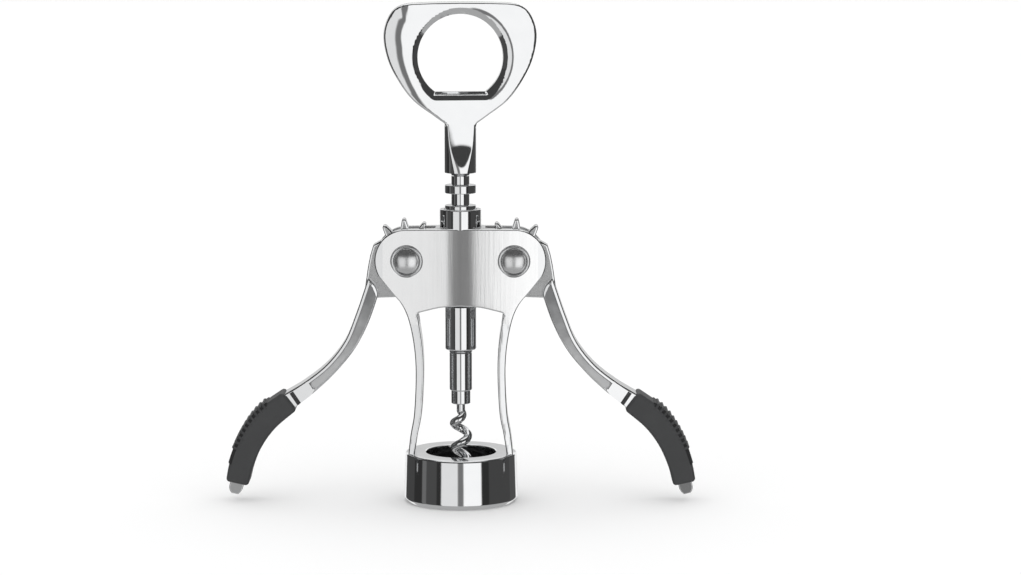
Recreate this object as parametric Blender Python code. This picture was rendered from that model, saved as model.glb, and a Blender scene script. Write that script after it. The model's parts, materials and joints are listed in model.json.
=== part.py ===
"""Lever corkscrew with a crown-cap opener as its handle.

Two geared levers turn on pins in a cast frame and drive a round rack up and down. A rod inside
the rack joins the handle to the worm, so the handle turns the worm without turning the rack.

Units are metres and +Z is up. The origin is at the centre of the ring's lower face, the levers
open along X and the handle's plate faces -Y. Every piece is an object of its own.
"""

import math

import bmesh
import bpy
from mathutils import Matrix, Vector

# Clearances
GAP = 0.0003  # between pieces that touch or slide on each other
OVERLAP = 0.001  # how far a cutter runs past the face it cuts

# Base ring, which sits on the bottle's neck
RING_RADIUS = 0.0200
RING_TOP_RADIUS = 0.0195
RING_HEIGHT = 0.0175
RING_BEVEL = 0.0015
RING_OPENING_RADIUS = 0.0123
SOCKET_RADIUS = 0.0166
SOCKET_DEPTH = 0.0122
LINER_WALL = 0.0013
LINER_LIP_HEIGHT = 0.0011

# Frame head: two cheeks with the gears between them
HEAD_TOP = 0.0968
HEAD_CROWN = 0.0003
HEAD_HALF_DEPTH = 0.0073
HEAD_RIDGE_RADIUS = 0.092  # the face is bent round this in the middle
HEAD_RIDGE_HALF_WIDTH = 0.0050
HEAD_CHEEK_RADIUS = 1.2  # and falls away on a slower curve outside the ridge
LOBE_RADIUS = 0.0112
SLOT_HALF_WIDTH = 0.0034
GEAR_SPACE_RADIUS = 0.0151
SLOT_FLOOR_DROP = 0.0013  # below the gear space, for the web when the levers are down
COLLAR_RADIUS = 0.0073
COLLAR_TOP = 0.1035
EDGE_ROUNDING = 0.0006

# Pivots
PIVOT_X = 0.0187
PIVOT_Z = 0.0857
PIN_RADIUS = 0.0025
PIN_HEAD_RADIUS = 0.0044
PIN_HEAD_RISE = 0.0019
PIN_SEAT_RADIUS = 0.0057
PIN_SEAT_Y = 0.0053
WASHER_RADIUS = 0.0054
WASHER_THICKNESS = 0.0009

# Rack and the gear teeth that drive it
RACK_RADIUS = 0.0055
RACK_ROOT_RADIUS = 0.0032
RACK_BOTTOM = 0.0539
RACK_TOP = 0.1150
RACK_BORE_RADIUS = 0.0023
RACK_PITCH = 0.0071
RACK_GROOVE = 0.0042
TOP_GROOVE_Z = 0.1140
GROOVES = 7
GUIDE_RADIUS = 0.0059
GEAR_TEETH_PER_TURN = 12
GEAR_TIP_RADIUS = 0.0145
GEAR_ROOT_RADIUS = 0.0104
GEAR_FIRST_TOOTH = 56.0  # degrees from +X on the right lever
GEAR_TEETH = 7
TOOTH_ROOT_HALF_WIDTH = 0.0016
TOOTH_TIP_HALF_WIDTH = 0.0008
HUB_HALF_THICKNESS = 0.0027

# Lever arm: x, z and half width along its middle line, from the pivot, on the right lever
ARM_LINE = (
    (0.0119, -0.0096, 0.0026),
    (0.0156, -0.0203, 0.0026),
    (0.0200, -0.0297, 0.0022),
    (0.0266, -0.0380, 0.0021),
    (0.0344, -0.0448, 0.0025),
    (0.0420, -0.0501, 0.0031),
)
GRIP_LINE = (
    (0.0412, -0.0495, 0.0040),
    (0.0494, -0.0560, 0.0044),
    (0.0548, -0.0635, 0.0043),
    (0.0583, -0.0717, 0.0042),
    (0.0600, -0.0789, 0.0040),
)
TANG_LINE = (
    (0.0411, -0.0494, 0.0023),
    (0.0494, -0.0560, 0.0023),
    (0.0549, -0.0634, 0.0023),
    (0.0585, -0.0716, 0.0024),
    (0.0602, -0.0789, 0.0024),
    (0.0608, -0.0814, 0.0023),
    (0.0612, -0.0831, 0.0013),
)
ARM_HALF_DEPTH = 0.0048
ARM_RECESS_DEPTH = 0.0006
ARM_RIM = 0.0008
TANG_HALF_DEPTH = 0.0024
GRIP_HALF_DEPTH = 0.0060
GRIP_ROUNDING = 0.0016

# Handle: a crown-cap opener on a round neck, turned a little about the axis
HANDLE_TURN = math.radians(6)
HANDLE_OUTLINE = (
    (0.0000, 0.1755),
    (0.0119, 0.1753),
    (0.0198, 0.1746),
    (0.0242, 0.1713),
    (0.0265, 0.1644),
    (0.0252, 0.1560),
    (0.0216, 0.1484),
    (0.0164, 0.1414),
    (0.0095, 0.1362),
    (0.0056, 0.1334),
)
HANDLE_HALF_THICKNESS = 0.0031
HANDLE_ROUNDING = 0.0012
NECK_RADIUS = 0.0056
NECK_BOTTOM = 0.1161
NECK_TOP = 0.1348
PLATE_ROOT = (0.0046, 0.1302)  # where the plate ends inside the neck
HOLE_RADIUS = 0.0149
HOLE_Z = 0.1564
HOLE_FLAT_Z = 0.1444
HOLE_CHAMFER = 0.0016

# Spindle below the handle
ROD_RADIUS = 0.0020
ROD_TOP = 0.1279
FERRULE_RADIUS = 0.0040
FERRULE_TOP = 0.0529
FERRULE_STEP_Z = 0.0394
FERRULE_NOSE_RADIUS = 0.0034
FERRULE_BOTTOM = 0.0346
THRUST_WASHER_THICKNESS = 0.0005
WORM_RADIUS = 0.0025  # to the middle of the wire
WORM_WIRE_RADIUS = 0.0015
WORM_PITCH = 0.0088
WORM_TOP = 0.0318
WORM_TIP_Z = 0.0030
SCREW_RADIUS = 0.0015
SCREW_Z = 0.1232

CHROME = ("polished_chrome", (0.80, 0.81, 0.82), 0.06, 1.0)
STEEL = ("plain_steel", (0.55, 0.56, 0.57), 0.25, 1.0)
BLACK = ("black_nylon", (0.015, 0.015, 0.016), 0.45, 0.0)
RUBBER = ("soft_touch_grey", (0.055, 0.056, 0.058), 0.62, 0.0)


def material(finish):
    """The Principled material of a finish, made once."""
    name, colour, roughness, metallic = finish
    found = bpy.data.materials.get(name)
    if found:
        return found
    made = bpy.data.materials.new(name)
    made.use_nodes = True
    shader = made.node_tree.nodes["Principled BSDF"]
    shader.inputs["Base Color"].default_value = (*colour, 1)
    shader.inputs["Roughness"].default_value = roughness
    shader.inputs["Metallic"].default_value = metallic
    return made


def add_object(name, bm, finish, parent=None):
    """Makes an object from a bmesh, smooth except along its sharp edges."""
    bmesh.ops.remove_doubles(bm, verts=bm.verts, dist=1e-7)
    bmesh.ops.recalc_face_normals(bm, faces=bm.faces)
    mesh = bpy.data.meshes.new(name)
    bm.to_mesh(mesh)
    bm.free()
    mesh.shade_smooth()
    mesh.set_sharp_from_angle(angle=math.radians(30))
    mesh.materials.append(material(finish))
    obj = bpy.data.objects.new(name, mesh)
    bpy.context.scene.collection.objects.link(obj)
    obj.parent = parent
    return obj


def boolean(obj, operation, name, bm):
    """Adds a Boolean modifier with a hidden helper made from a bmesh in the object's own space."""
    helper = add_object(name, bm, STEEL, obj)
    helper.hide_render = True
    helper.display_type = "WIRE"
    modifier = obj.modifiers.new(name, "BOOLEAN")
    modifier.operation = operation
    modifier.solver = "EXACT"
    modifier.object = helper


def curve_points(points, steps, closed=False):
    """A smooth Catmull-Rom line through points of any dimension, with some steps between each pair."""
    count = len(points)
    vectors = [Vector(point) for point in points]
    line = []
    for index in range(count if closed else count - 1):
        if closed:
            before, start, end, after = (vectors[(index + k) % count] for k in (-1, 0, 1, 2))
        else:
            start, end = vectors[index], vectors[index + 1]
            before = vectors[index - 1] if index else start * 2 - end
            after = vectors[index + 2] if index + 2 < count else end * 2 - start
        for step in range(steps):
            t = step / steps
            bend = (before * 2 - start * 5 + end * 4 - after) * t * t
            twist = (start * 3 - before - end * 3 + after) * t**3
            line.append((start * 2 + (end - before) * t + bend + twist) / 2)
    if not closed:
        line.append(vectors[-1])
    return line


def arc(centre, radius, start, end, steps):
    """Points along an arc in a plane, from one angle to another in degrees."""
    angles = [math.radians(start + (end - start) * k / steps) for k in range(steps + 1)]
    return [Vector((centre[0] + radius * math.cos(a), centre[1] + radius * math.sin(a))) for a in angles]


def mirrored(points):
    """A right-hand outline, from its top to its bottom on the middle line, with its left half."""
    left = [Vector((-p[0], p[1])) for p in reversed(points) if p[0] > 1e-6]
    return list(points) + left


def band(line, extra=0.0, steps=4):
    """The outline of a band round a middle line whose points hold x, z and half width."""
    points = curve_points(line, steps)
    one, other = [], []
    for index, point in enumerate(points):
        before = points[max(index - 1, 0)]
        after = points[min(index + 1, len(points) - 1)]
        along = Vector((after[0] - before[0], after[1] - before[1])).normalized()
        across = Vector((-along[1], along[0])) * (point[2] + extra)
        middle = Vector((point[0], point[1]))
        one.append(middle + across)
        other.append(middle - across)
    return one + other[::-1]


def prism(outline, low, high, axis="Y"):
    """A solid of one outline between two planes: axis Y takes (x, z), X takes (y, z), Z takes (x, y)."""
    place = {
        "Y": lambda a, b, depth: (a, depth, b),
        "X": lambda a, b, depth: (depth, a, b),
        "Z": lambda a, b, depth: (a, b, depth),
    }[axis]
    bm = bmesh.new()
    face = bm.faces.new([bm.verts.new(place(p[0], p[1], low)) for p in outline])
    moved = bmesh.ops.extrude_face_region(bm, geom=[face])["geom"]
    verts = [item for item in moved if isinstance(item, bmesh.types.BMVert)]
    shift = Vector(place(0, 0, high)) - Vector(place(0, 0, low))
    bmesh.ops.translate(bm, verts=verts, vec=shift)
    return bm


def turned(profile, steps=48, axis="Z"):
    """A turned solid from its (radius, height) profile, closed unless both ends are on the axis."""
    bm = bmesh.new()
    verts = [bm.verts.new((radius, 0, height)) for radius, height in profile]
    edges = [bm.edges.new(pair) for pair in zip(verts, verts[1:])]
    if profile[0][0] > 0 or profile[-1][0] > 0:
        edges.append(bm.edges.new((verts[-1], verts[0])))
    bmesh.ops.spin(
        bm, geom=verts + edges, cent=(0, 0, 0), axis=(0, 0, 1), angle=math.tau, steps=steps, use_merge=True
    )
    bmesh.ops.remove_doubles(bm, verts=bm.verts, dist=1e-7)
    if axis == "Y":
        bmesh.ops.rotate(bm, verts=bm.verts, cent=(0, 0, 0), matrix=Matrix.Rotation(math.pi / 2, 3, "X"))
    return bm


def tube(inner, outer, low, high, steps=48):
    return turned([(inner, low), (outer, low), (outer, high), (inner, high)], steps)


def rod(radius, low, high, steps=48, axis="Z"):
    return turned([(0, low), (radius, low), (radius, high), (0, high)], steps, axis)


def dome(radius, base, rise, steps=4):
    """The profile of a shallow dome from its rim to its top, where base is the rim's height."""
    sphere = (radius**2 + rise**2) / (2 * rise)
    widest = math.asin(radius / sphere)
    points = []
    for k in range(steps + 1):
        angle = widest * (1 - k / steps)
        points.append((sphere * math.sin(angle), base + rise - sphere * (1 - math.cos(angle))))
    return points


def soften(obj, width, segments=1, angle=40):
    """Rounds the edges of an object that are sharper than an angle."""
    bevel = obj.modifiers.new("rounded_edges", "BEVEL")
    bevel.width = width
    bevel.segments = segments
    bevel.limit_method = "ANGLE"
    bevel.angle_limit = math.radians(angle)
    bevel.harden_normals = False


def head_face_depth(x):
    """How far the head's face stands from the middle plane at x: a soft ridge, then two long slopes."""
    near = min(abs(x), HEAD_RIDGE_HALF_WIDTH)
    far = abs(x) - near
    slope = near / HEAD_RIDGE_RADIUS
    drop = near * near / (2 * HEAD_RIDGE_RADIUS) + slope * far + far * far / (2 * HEAD_CHEEK_RADIUS)
    return HEAD_HALF_DEPTH - drop


def frame_outline():
    """The front outline of the head and the legs, down into the ring."""
    lobe = arc((PIVOT_X, PIVOT_Z), LOBE_RADIUS, 84, -30, 14)
    leg = curve_points(
        (
            lobe[-1],
            (0.0241, 0.0748),
            (0.0204, 0.0703),
            (0.0180, 0.0646),
            (0.0163, 0.0557),
            (0.0157, 0.0457),
            (0.0163, 0.0321),
            (0.0176, 0.0242),
            (0.0183, 0.0180),
            (0.0184, 0.0149),
        ),
        3,
    )
    inside = curve_points(
        (
            (0.0161, 0.0149),
            (0.0160, 0.0180),
            (0.0150, 0.0246),
            (0.0136, 0.0321),
            (0.0129, 0.0457),
            (0.0133, 0.0557),
            (0.0147, 0.0654),
        ),
        3,
    )
    corner = arc((0.0139, 0.0665), 0.0012, 0, 80, 4)
    crown = [Vector((0.0070, 0.0694)), Vector((0.0000, 0.0699))]
    top = [Vector((0.0, HEAD_TOP + HEAD_CROWN)), Vector((0.0100, HEAD_TOP + HEAD_CROWN / 2))]
    right = top + lobe + leg[1:] + inside + corner + crown
    left = [Vector((-p[0], p[1])) for p in reversed(right) if p[0] > 1e-6]
    return right + left


def side_outline():
    """Half depths of the frame against height: deep at the head, slim at the waist."""
    depths = curve_points(
        (
            (0.0080, 0.0123),
            (0.0078, 0.0175),
            (0.0062, 0.0267),
            (0.0056, 0.0430),
            (0.0060, 0.0573),
            (0.0072, 0.0664),
            (0.0073, 0.0714),
            (0.0073, 0.0986),
        ),
        2,
    )
    return depths + [Vector((-p[0], p[1])) for p in reversed(depths)]


def face_outline():
    """The head's ridged faces, seen from above."""
    reach = 0.033
    ridge = HEAD_RIDGE_HALF_WIDTH
    xs = [-reach, -reach * 0.6] + [ridge * k / 3 for k in range(-3, 4)] + [reach * 0.6, reach]
    front = [Vector((x, -head_face_depth(x))) for x in xs]
    return front + [Vector((-p[0], -p[1])) for p in front]


def ring_profile():
    """The ring's section, with the socket for the bottle below and the opening above."""
    bevel = RING_BEVEL
    return [
        (SOCKET_RADIUS, 0),
        (RING_RADIUS - bevel, 0),
        (RING_RADIUS - bevel * 0.3, bevel * 0.3),
        (RING_RADIUS, bevel),
        (RING_TOP_RADIUS, RING_HEIGHT - bevel),
        (RING_TOP_RADIUS - bevel * 0.3, RING_HEIGHT - bevel * 0.3),
        (RING_TOP_RADIUS - bevel, RING_HEIGHT),
        (RING_OPENING_RADIUS, RING_HEIGHT),
        (RING_OPENING_RADIUS, SOCKET_DEPTH),
        (SOCKET_RADIUS, SOCKET_DEPTH),
    ]


def gear_slot(side):
    """The space for one gear between the cheeks, open at the outside and at the top."""
    centre = (PIVOT_X, PIVOT_Z)
    outline = arc(centre, GEAR_SPACE_RADIUS, 90, 270, 24)
    reach = 0.036
    floor = PIVOT_Z - GEAR_SPACE_RADIUS - SLOT_FLOOR_DROP
    top = PIVOT_Z + GEAR_SPACE_RADIUS
    outline += [Vector((PIVOT_X, floor)), Vector((reach, floor)), Vector((reach, top))]
    points = [Vector((p[0] * side, p[1])) for p in outline]
    return prism(points, -SLOT_HALF_WIDTH, SLOT_HALF_WIDTH)


def at(bm, x, y, z):
    bmesh.ops.translate(bm, verts=bm.verts, vec=(x, y, z))
    return bm


def make_frame():
    """The casting: ring, legs, cheeks and the collar that guides the rack."""
    frame = add_object("frame", prism(frame_outline(), -0.009, 0.009), CHROME)
    boolean(frame, "INTERSECT", "frame_side_shape", prism(side_outline(), -0.04, 0.04, "X"))
    boolean(frame, "INTERSECT", "frame_face_shape", prism(face_outline(), 0.0, 0.1, "Z"))
    boolean(frame, "DIFFERENCE", "left_gear_space", gear_slot(-1))
    boolean(frame, "DIFFERENCE", "right_gear_space", gear_slot(1))
    boolean(frame, "UNION", "ring_shape", turned(ring_profile(), 56))
    boolean(frame, "UNION", "collar_shape", rod(COLLAR_RADIUS, HEAD_TOP - 0.0012, COLLAR_TOP, 40))
    boolean(frame, "DIFFERENCE", "rack_guide", rod(GUIDE_RADIUS, 0.060, COLLAR_TOP + OVERLAP, 40))
    for side, word in ((-1, "left"), (1, "right")):
        x = side * PIVOT_X
        hole = at(rod(PIN_RADIUS + GAP, -0.02, 0.02, 20, "Y"), x, 0, PIVOT_Z)
        boolean(frame, "DIFFERENCE", f"{word}_pin_hole", hole)
        for face, end in ((-1, "front"), (1, "rear")):
            seat = rod(PIN_SEAT_RADIUS, PIN_SEAT_Y, PIN_SEAT_Y + 0.006, 32, "Y")
            if face > 0:
                bmesh.ops.rotate(seat, verts=seat.verts, matrix=Matrix.Rotation(math.pi, 3, "Z"))
            boolean(frame, "DIFFERENCE", f"{word}_{end}_pin_seat", at(seat, x, 0, PIVOT_Z))
    return frame


def make_ring_liner(parent):
    """The black lining of the socket, with a lip that rests on the bottle."""
    outer = SOCKET_RADIUS - GAP
    inner = outer - LINER_WALL
    top = SOCKET_DEPTH - GAP
    low = 0.0008
    opening = RING_OPENING_RADIUS + GAP
    profile = [
        (inner, low),
        (outer, low),
        (outer, top),
        (opening, top),
        (opening, top - LINER_LIP_HEIGHT),
        (inner, top - LINER_LIP_HEIGHT),
    ]
    add_object("ring_liner", turned(profile, 48), BLACK, parent)


def pin_profile():
    """A rivet pin along its axis: domed head at the front, shank through both cheeks."""
    base = PIN_SEAT_Y + GAP
    head = dome(PIN_HEAD_RADIUS, base + 0.0004, PIN_HEAD_RISE)[::-1]
    shank_end = -(PIN_SEAT_Y + 0.0004)
    return head + [(PIN_HEAD_RADIUS, base), (PIN_RADIUS, base), (PIN_RADIUS, shank_end), (0, shank_end)]


def cap_profile():
    """The dome that closes the pin at the rear, hollow for the end of the shank."""
    base = PIN_SEAT_Y + GAP
    head = dome(PIN_HEAD_RADIUS, base + 0.0004, PIN_HEAD_RISE)[::-1]
    socket = PIN_RADIUS + GAP
    floor = base + 0.0010
    return head + [(PIN_HEAD_RADIUS, base), (socket, base), (socket, floor), (0, floor)]


def make_pivots(parent):
    """Pins, rear caps and the washers round their heads, two of each kind on each side."""
    for side, word in ((-1, "left"), (1, "right")):
        place = (side * PIVOT_X, 0, PIVOT_Z)
        pin = add_object(f"{word}_pivot_pin", turned(pin_profile(), 22, "Y"), CHROME, parent)
        pin.location = place
        cap = add_object(f"{word}_pivot_cap", turned(cap_profile(), 22, "Y"), CHROME, parent)
        cap.location = place
        cap.rotation_euler.z = math.pi
        for end, turn in (("front", 0), ("rear", math.pi)):
            low = PIN_SEAT_Y + GAP
            ring = [
                (PIN_HEAD_RADIUS + 0.0002, low),
                (WASHER_RADIUS, low),
                (WASHER_RADIUS, low + WASHER_THICKNESS * 0.7),
                (WASHER_RADIUS - 0.0003, low + WASHER_THICKNESS),
                (PIN_HEAD_RADIUS + 0.0002, low + WASHER_THICKNESS),
            ]
            washer = add_object(f"{word}_{end}_washer", turned(ring, 24, "Y"), CHROME, parent)
            washer.location = place
            washer.rotation_euler.z = turn


def rack_profile():
    """Ring-shaped teeth on a hollow bar: every groove goes right round, so the bar may turn."""
    edge = 0.0006
    points = [(RACK_BORE_RADIUS, RACK_BOTTOM), (RACK_RADIUS - edge, RACK_BOTTOM)]
    points.append((RACK_RADIUS, RACK_BOTTOM + edge))
    for index in reversed(range(GROOVES)):
        middle = TOP_GROOVE_Z - index * RACK_PITCH
        low, high = middle - RACK_GROOVE / 2, middle + RACK_GROOVE / 2
        points += [(RACK_RADIUS, low), (RACK_ROOT_RADIUS, low)]
        if index:
            points += [(RACK_ROOT_RADIUS, high), (RACK_RADIUS, high)]
    return points + [(RACK_ROOT_RADIUS, RACK_TOP), (RACK_BORE_RADIUS, RACK_TOP)]


def tooth(angle):
    """One gear tooth's outline, going round the pivot with the angle falling."""
    outward = Vector((math.cos(angle), math.sin(angle)))
    along = Vector((-outward[1], outward[0]))
    shoulder = GEAR_TIP_RADIUS - TOOTH_TIP_HALF_WIDTH
    middle = TOOTH_TIP_HALF_WIDTH * 0.7
    return [
        outward * GEAR_ROOT_RADIUS + along * TOOTH_ROOT_HALF_WIDTH,
        outward * shoulder + along * TOOTH_TIP_HALF_WIDTH,
        outward * (shoulder + middle) + along * middle,
        outward * GEAR_TIP_RADIUS,
        outward * (shoulder + middle) - along * middle,
        outward * shoulder - along * TOOTH_TIP_HALF_WIDTH,
        outward * GEAR_ROOT_RADIUS - along * TOOTH_ROOT_HALF_WIDTH,
    ]


def hub_outline():
    """The flat hub of the right lever: its teeth, then the web that carries the arm."""
    points = []
    step = 360 / GEAR_TEETH_PER_TURN
    for index in reversed(range(GEAR_TEETH)):
        angle = GEAR_FIRST_TOOTH + index * step
        points += tooth(math.radians(angle))
        if index:
            middle = math.radians(angle - step / 2)
            points.append(Vector((math.cos(middle), math.sin(middle))) * GEAR_ROOT_RADIUS)
    web = [
        (0.0093, 0.0066),
        (0.0117, 0.0052),
        (0.0128, 0.0016),
        (0.0136, -0.0025),
        (0.0142, -0.0065),
        (0.0150, -0.0118),
        (0.0140, -0.0150),
        (0.0100, -0.0133),
        (0.0010, -0.0130),
    ]
    return points + [Vector(p) for p in web]


def make_lever(side, word, parent):
    """A geared hub, an arm with a recess on each face, and a tang that runs out of the grip's end."""
    pivot = bpy.data.objects.new(f"{word}_lever_axis", None)
    bpy.context.scene.collection.objects.link(pivot)
    pivot.parent = parent
    pivot.location = (side * PIVOT_X, 0, PIVOT_Z)

    def flip(points):
        return [Vector((p[0] * side, p[1])) for p in points]

    arm = prism(flip(band(ARM_LINE)), -ARM_HALF_DEPTH, ARM_HALF_DEPTH)
    lever = add_object(f"{word}_lever", arm, CHROME, pivot)
    soften(lever, EDGE_ROUNDING)
    recess = [(x, z, half - ARM_RIM) for x, z, half in ARM_LINE[:-1]]
    start, end = Vector(recess[0]), Vector(recess[-1])
    recess[0] = tuple(start + (Vector(recess[1]) - start) * 0.12)
    recess.append(tuple(end + (Vector(ARM_LINE[-1]) - end) * 0.15 - Vector((0, 0, 0.0012))))
    floor = ARM_HALF_DEPTH - ARM_RECESS_DEPTH
    deep = ARM_HALF_DEPTH + OVERLAP
    for face, end_name in ((-1, "front"), (1, "rear")):
        low, high = sorted((floor * face, deep * face))
        cut = prism(flip(band(recess)), low, high)
        boolean(lever, "DIFFERENCE", f"{word}_{end_name}_recess", cut)
    hub = prism(flip(hub_outline()), -HUB_HALF_THICKNESS, HUB_HALF_THICKNESS)
    boolean(lever, "UNION", f"{word}_hub_shape", hub)
    tang = prism(flip(band(TANG_LINE)), -TANG_HALF_DEPTH, TANG_HALF_DEPTH)
    boolean(lever, "UNION", f"{word}_tang_shape", tang)
    bore = rod(PIN_RADIUS + GAP, -0.01, 0.01, 20, "Y")
    boolean(lever, "DIFFERENCE", f"{word}_lever_bore", bore)

    sleeve = prism(flip(band(GRIP_LINE)), -GRIP_HALF_DEPTH, GRIP_HALF_DEPTH)
    grip = add_object(f"{word}_grip", sleeve, RUBBER, pivot)
    soften(grip, GRIP_ROUNDING, 3)
    channel_depth = TANG_HALF_DEPTH + GAP
    channel = prism(flip(band(longer(TANG_LINE), GAP)), -channel_depth, channel_depth)
    boolean(grip, "DIFFERENCE", f"{word}_grip_channel", channel)
    arm_end = prism(flip(band(ARM_LINE, GAP)), -ARM_HALF_DEPTH - GAP, ARM_HALF_DEPTH + GAP)
    boolean(grip, "DIFFERENCE", f"{word}_grip_mouth", arm_end)


def longer(line):
    """The tang's line with its rounded tip run straight on, for the channel that it lies in."""
    straight = [(x, z, line[0][2]) for x, z, _ in line[:-1]]
    last, before = Vector(straight[-1]), Vector(straight[-2])
    return straight + [tuple(last + (last - before).normalized() * 0.004)]


def neck_side_outline():
    """Half depths of the handle's neck against height, which make its two long flats."""
    depths = curve_points(
        (
            (NECK_RADIUS + OVERLAP, NECK_BOTTOM - OVERLAP),
            (NECK_RADIUS, NECK_BOTTOM + 0.0002),
            (0.0045, 0.1201),
            (0.0037, 0.1241),
            (HANDLE_HALF_THICKNESS, 0.1291),
            (HANDLE_HALF_THICKNESS, 0.1370),
        ),
        3,
    )
    return depths + [Vector((-p[0], p[1])) for p in reversed(depths)]


def hole_outline(extra=0.0):
    """The opener's hole: round, with a flat lower lip that hooks under the cap."""
    radius = HOLE_RADIUS + extra
    drop = HOLE_Z - HOLE_FLAT_Z + extra
    end = math.degrees(math.asin(drop / radius))
    return arc((0, HOLE_Z), radius, -end, 180 + end, 40)


def make_handle(parent):
    """The opener plate and its neck, cast in one."""
    right = curve_points(HANDLE_OUTLINE, 3) + [Vector(PLATE_ROOT), Vector((0.0, PLATE_ROOT[1]))]
    plate = prism(mirrored(right), -HANDLE_HALF_THICKNESS, HANDLE_HALF_THICKNESS)
    handle = add_object("handle", plate, CHROME, parent)
    handle.rotation_euler.z = HANDLE_TURN
    soften(handle, HANDLE_ROUNDING, 2, 60)
    neck = turned([(0, NECK_BOTTOM), (NECK_RADIUS, NECK_BOTTOM), (NECK_RADIUS, NECK_TOP), (0, NECK_TOP)], 40)
    neck_object = add_object("neck_shape", neck, STEEL, handle)
    neck_object.hide_render = True
    neck_object.display_type = "WIRE"
    flats = prism(neck_side_outline(), -0.02, 0.02, "X")
    boolean(neck_object, "INTERSECT", "neck_flats", flats)
    union = handle.modifiers.new("neck", "BOOLEAN")
    union.operation = "UNION"
    union.object = neck_object
    through = prism(hole_outline(), -0.01, 0.01)
    boolean(handle, "DIFFERENCE", "opener_hole", through)
    for face, word in ((-1, "front"), (1, "rear")):
        boolean(handle, "DIFFERENCE", f"{word}_hole_chamfer", hole_chamfer(face))
    socket = rod(ROD_RADIUS + GAP, NECK_BOTTOM - OVERLAP, ROD_TOP + GAP, 20)
    boolean(handle, "DIFFERENCE", "rod_socket", socket)
    screw_hole = rod(SCREW_RADIUS + GAP, -0.008, 0, 16, "Y")
    boolean(handle, "DIFFERENCE", "screw_hole", at(screw_hole, 0, 0, SCREW_Z))
    return handle


def hole_chamfer(face):
    """A tapered plug that bevels the rim of the opener's hole on one face."""
    inner = [Vector((x, face * (HANDLE_HALF_THICKNESS - HOLE_CHAMFER), z)) for x, z in hole_outline(-0.0001)]
    wide = hole_outline(HOLE_CHAMFER + 0.0010)
    outer = [Vector((x, face * (HANDLE_HALF_THICKNESS + 0.0010), z)) for x, z in wide]
    bm = bmesh.new()
    near = [bm.verts.new(p) for p in inner]
    far = [bm.verts.new(p) for p in outer]
    bm.faces.new(near)
    bm.faces.new(far)
    count = len(near)
    for k in range(count):
        follow = (k + 1) % count
        bm.faces.new((near[k], near[follow], far[follow], far[k]))
    return bm


def worm_points():
    """The worm's wire: a short straight shank on the axis, then right-hand turns to the full radius."""
    turns = (WORM_TOP - WORM_TIP_Z) / WORM_PITCH
    steps = int(turns * 16)
    points = [(0, 0, FERRULE_TOP - 0.0078, 1.0), (0, 0, WORM_TOP + 0.0035, 1.0)]
    for k in range(steps + 1):
        share = k / steps
        angle = -math.tau * turns * share
        spread = WORM_RADIUS * min(1.0, share * turns * 2.5)
        thickness = min(1.0, 0.12 + (1 - share) * turns * 1.1)
        height = WORM_TOP - (WORM_TOP - WORM_TIP_Z) * share
        points.append((spread * math.cos(angle), spread * math.sin(angle), height, thickness))
    return points


def make_worm(parent):
    curve = bpy.data.curves.new("worm", "CURVE")
    curve.dimensions = "3D"
    curve.bevel_depth = WORM_WIRE_RADIUS
    curve.bevel_resolution = 2
    curve.use_fill_caps = True
    spline = curve.splines.new("POLY")
    points = worm_points()
    spline.points.add(len(points) - 1)
    for point, (x, y, z, radius) in zip(spline.points, points):
        point.co = (x, y, z, 1)
        point.radius = radius
    spline.use_smooth = True
    curve.materials.append(material(CHROME))
    worm = bpy.data.objects.new("worm", curve)
    bpy.context.scene.collection.objects.link(worm)
    worm.parent = parent


def ferrule_profile():
    """The ferrule: the rod enters from above and the worm's shank from below."""
    web_top, web_bottom = FERRULE_TOP - 0.0060, FERRULE_TOP - 0.0075
    edge = 0.0004
    return [
        (0, web_bottom),
        (WORM_WIRE_RADIUS + GAP, web_bottom),
        (WORM_WIRE_RADIUS + GAP, FERRULE_BOTTOM),
        (FERRULE_NOSE_RADIUS - edge, FERRULE_BOTTOM),
        (FERRULE_NOSE_RADIUS, FERRULE_BOTTOM + edge),
        (FERRULE_NOSE_RADIUS, FERRULE_STEP_Z),
        (FERRULE_RADIUS - edge, FERRULE_STEP_Z),
        (FERRULE_RADIUS, FERRULE_STEP_Z + edge),
        (FERRULE_RADIUS, FERRULE_TOP),
        (ROD_RADIUS + GAP, FERRULE_TOP),
        (ROD_RADIUS + GAP, web_top),
        (0, web_top),
    ]


def make_spindle(parent):
    """What turns with the handle: rod, ferrule, worm, thrust washers and the neck's grub screw."""
    make_handle(parent)
    add_object("core_rod", rod(ROD_RADIUS, FERRULE_TOP - 0.0057, ROD_TOP, 24), STEEL, parent)
    add_object("worm_ferrule", turned(ferrule_profile(), 36), CHROME, parent)
    bore = ROD_RADIUS + GAP
    thick = THRUST_WASHER_THICKNESS
    top = RACK_TOP + GAP
    lower = FERRULE_TOP + GAP / 2
    add_object("upper_thrust_washer", tube(bore, RACK_ROOT_RADIUS, top, top + thick, 32), STEEL, parent)
    add_object("lower_thrust_washer", tube(bore, FERRULE_RADIUS, lower, lower + thick, 32), STEEL, parent)
    grub = rod(SCREW_RADIUS, -0.0036, -ROD_RADIUS - GAP, 16, "Y")
    screw = add_object("neck_grub_screw", at(grub, 0, 0, SCREW_Z), STEEL, parent)
    screw.rotation_euler.z = HANDLE_TURN
    make_worm(parent)


def main():
    for obj in list(bpy.data.objects):
        bpy.data.objects.remove(obj, do_unlink=True)
    frame = make_frame()
    make_ring_liner(frame)
    make_pivots(frame)
    rack = add_object("rack", turned(rack_profile(), 36), CHROME, frame)
    spindle = bpy.data.objects.new("spindle_axis", None)
    bpy.context.scene.collection.objects.link(spindle)
    spindle.parent = rack
    make_spindle(spindle)
    for side, word in ((-1, "left"), (1, "right")):
        make_lever(side, word, frame)


main()
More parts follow.
